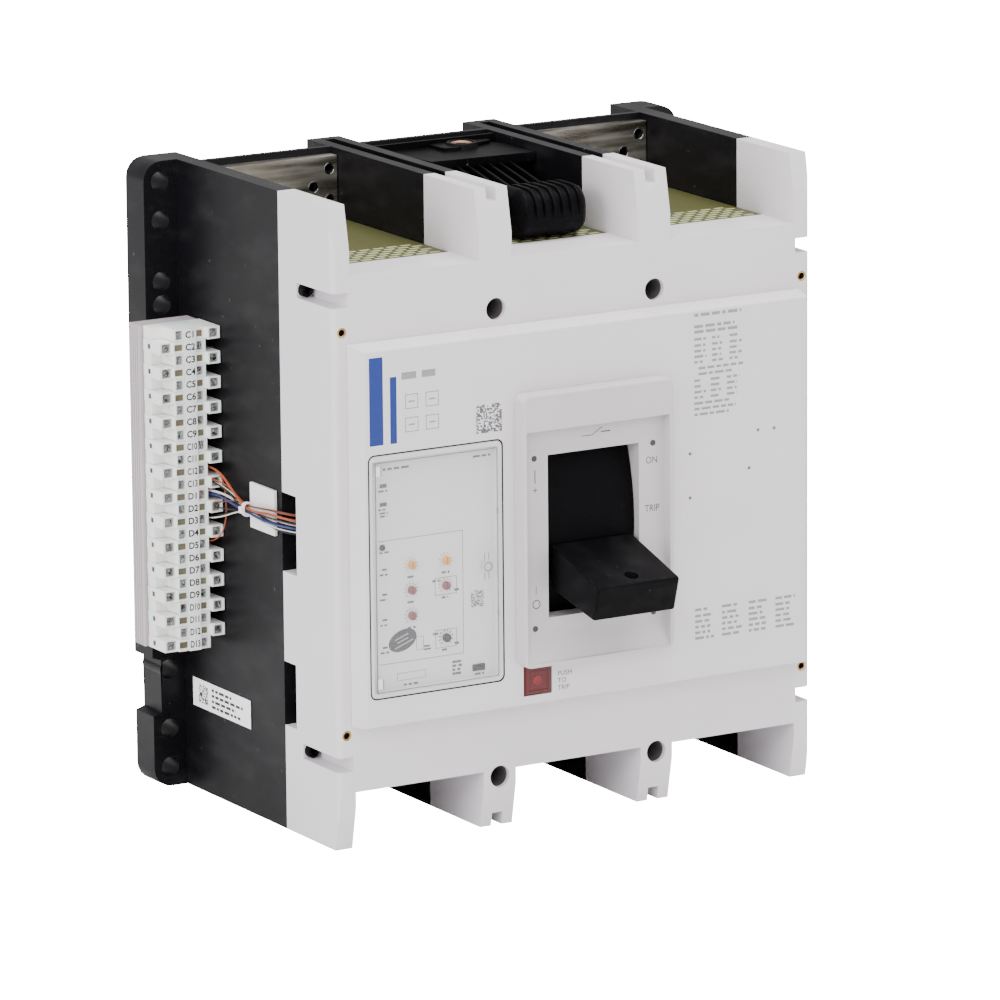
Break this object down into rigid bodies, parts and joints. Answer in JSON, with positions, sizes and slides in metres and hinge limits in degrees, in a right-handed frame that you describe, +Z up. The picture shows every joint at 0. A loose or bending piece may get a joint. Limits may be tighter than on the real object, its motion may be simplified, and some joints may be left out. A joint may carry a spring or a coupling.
{
  "type": "molded case circuit breaker",
  "caption": "Large molded case breaker with barrier-walled line and load pockets, clear-covered electronic trip unit, toggle handle and side terminal strip.",
  "frame": {"origin": "centre of the mounting face at the back of the case", "axes": "-Y is the front with the handle, +Z is up towards the line terminals, +X is to the right seen from the front"},
  "size_m": [0.4129, 0.2971, 0.4064],
  "materials": {
    "case_black": "semi-gloss moulded thermoset",
    "cover_grey": "fine matt moulded",
    "black": "satin",
    "red": "satin",
    "yellow": "satin",
    "olive": "fibre laminate sheet",
    "tin": "tin plate",
    "copper": "machined copper",
    "steel": "zinc plate",
    "white": "translucent white",
    "clear": "clear polycarbonate",
    "rail_grey": "extruded",
    "wire": "insulation",
    "brown": "moulded glass polyester"
  },
  "bodies": {
    "case": {"arc_chute_1": "steel", "arc_chute_2": "steel", "arc_chute_3": "steel", "base": "case_black", "cable_tie": "white", "cover_screw_1": "steel", "cover_screw_2": "steel", "cover_screw_3": "steel", "cover_screw_4": "steel", "current_sensor_1": "black", "current_sensor_2": "black", "current_sensor_3": "black", "front_cover": "cover_grey", "front_panel": "cover_grey", "handle_bezel": "cover_grey", "handle_extension": "black", "latch_lever": "steel", "line_terminal_1": "tin", "line_terminal_2": "tin", "line_terminal_3": "tin", "load_terminal_1": "tin", "load_terminal_2": "tin", "load_terminal_3": "tin", "mechanism_frame": "steel", "side_label": "white", "strip_marker": "white", "terminal_rail": "rail_grey", "terminal_strip": "white", "tie_mount": "white", "trip_unit": "cover_grey", "vent_sheet_1": "olive", "vent_sheet_2": "olive", "vent_sheet_3": "olive", "wire_black": "wire", "wire_blue": "wire", "wire_orange": "wire", "wire_white": "wire"},
    "handle": {"operating_handle": "black", "handle_slide": "black", "handle_yoke": "steel", "main_spring_left": "steel", "main_spring_right": "steel"},
    "contacts": {"crossbar": "brown", "contact_arm_1": "copper", "contact_arm_2": "copper", "contact_arm_3": "copper"},
    "upper_link": {"upper_toggle_link": "steel"},
    "lower_link": {"lower_toggle_link": "steel"},
    "trip_button": {"trip_button": "red"},
    "trip_bar": {"trip_bar": "black"},
    "window": {"trip_unit_window": "clear"},
    "window_latch": {"window_latch": "black"},
    "reset_button": {"reset_button": "black"},
    "dial_1": {"dial_1": "yellow"},
    "dial_2": {"dial_2": "yellow"},
    "dial_3": {"dial_3": "red"},
    "dial_4": {"dial_4": "red"},
    "dial_5": {"dial_5": "red"},
    "dial_6": {"dial_6": "black"}
  },
  "joints": [
    {"name": "handle_swing", "type": "hinge", "parent": "case", "child": "handle", "pos_m": [0, -0.095, -0.014], "axis": [-1, 0, 0], "range_deg": [-4.5, 21.6]},
    {"name": "crossbar_turn", "type": "hinge", "parent": "case", "child": "contacts", "pos_m": [0, -0.075, -0.03], "axis": [-1, 0, 0], "range_deg": [-4.07, 19.46]},
    {"name": "upper_link_turn", "type": "hinge", "parent": "case", "child": "upper_link", "pos_m": [0, -0.158, -0.008], "axis": [-1, 0, 0], "range_deg": [-17.03, 3.56]},
    {"name": "lower_link_turn", "type": "hinge", "parent": "contacts", "child": "lower_link", "pos_m": [0, -0.08499, -0.00171], "axis": [-1, 0, 0], "range_deg": [-10.89, 2.29]},
    {"name": "trip_button_push", "type": "slide", "parent": "case", "child": "trip_button", "axis": [0, 1, 0], "range_m": [0, 0.004], "stiffness_N_per_m": 600, "springref_m": -0.002},
    {"name": "trip_bar_turn", "type": "hinge", "parent": "case", "child": "trip_bar", "pos_m": [0, -0.187, -0.084], "axis": [1, 0, 0], "range_deg": [-0.02, 11.02]},
    {"name": "window_swing", "type": "hinge", "parent": "case", "child": "window", "pos_m": [-0.1533, -0.23785, -0.028], "axis": [0, 0, -1], "range_deg": [0, 110]},
    {"name": "window_latch_turn", "type": "hinge", "parent": "window", "child": "window_latch", "pos_m": [-0.0751, -0.239, -0.0298], "axis": [0, -1, 0], "range_deg": [0, 90]},
    {"name": "reset_button_push", "type": "slide", "parent": "case", "child": "reset_button", "axis": [0, 1, 0], "range_m": [0, 0.0015], "stiffness_N_per_m": 300, "springref_m": -0.001},
    {"name": "dial_1_turn", "type": "hinge", "parent": "case", "child": "dial_1", "pos_m": [-0.1258, -0.2336, -0.0236], "axis": [0, -1, 0], "range_deg": [-150, 150]},
    {"name": "dial_2_turn", "type": "hinge", "parent": "case", "child": "dial_2", "pos_m": [-0.1014, -0.2336, -0.0237], "axis": [0, -1, 0], "range_deg": [-150, 150]},
    {"name": "dial_3_turn", "type": "hinge", "parent": "case", "child": "dial_3", "pos_m": [-0.126, -0.2336, -0.0395], "axis": [0, -1, 0], "range_deg": [-150, 150]},
    {"name": "dial_4_turn", "type": "hinge", "parent": "case", "child": "dial_4", "pos_m": [-0.1016, -0.2336, -0.0396], "axis": [0, -1, 0], "range_deg": [-150, 150]},
    {"name": "dial_5_turn", "type": "hinge", "parent": "case", "child": "dial_5", "pos_m": [-0.126, -0.2336, -0.0557], "axis": [0, -1, 0], "range_deg": [-150, 150]},
    {"name": "dial_6_turn", "type": "hinge", "parent": "case", "child": "dial_6", "pos_m": [-0.1017, -0.2336, -0.0728], "axis": [0, -1, 0], "range_deg": [-150, 150]}
  ],
  "couplings": [
    {"joint": "crossbar_turn", "follows": "handle_swing", "ratio": 0.9},
    {"joint": "upper_link_turn", "follows": "handle_swing", "ratio": -0.7875},
    {"joint": "lower_link_turn", "follows": "handle_swing", "ratio": -0.5034},
    {"joint": "trip_bar_turn", "follows": "trip_button_push", "rad_per_m": 48}
  ]
}
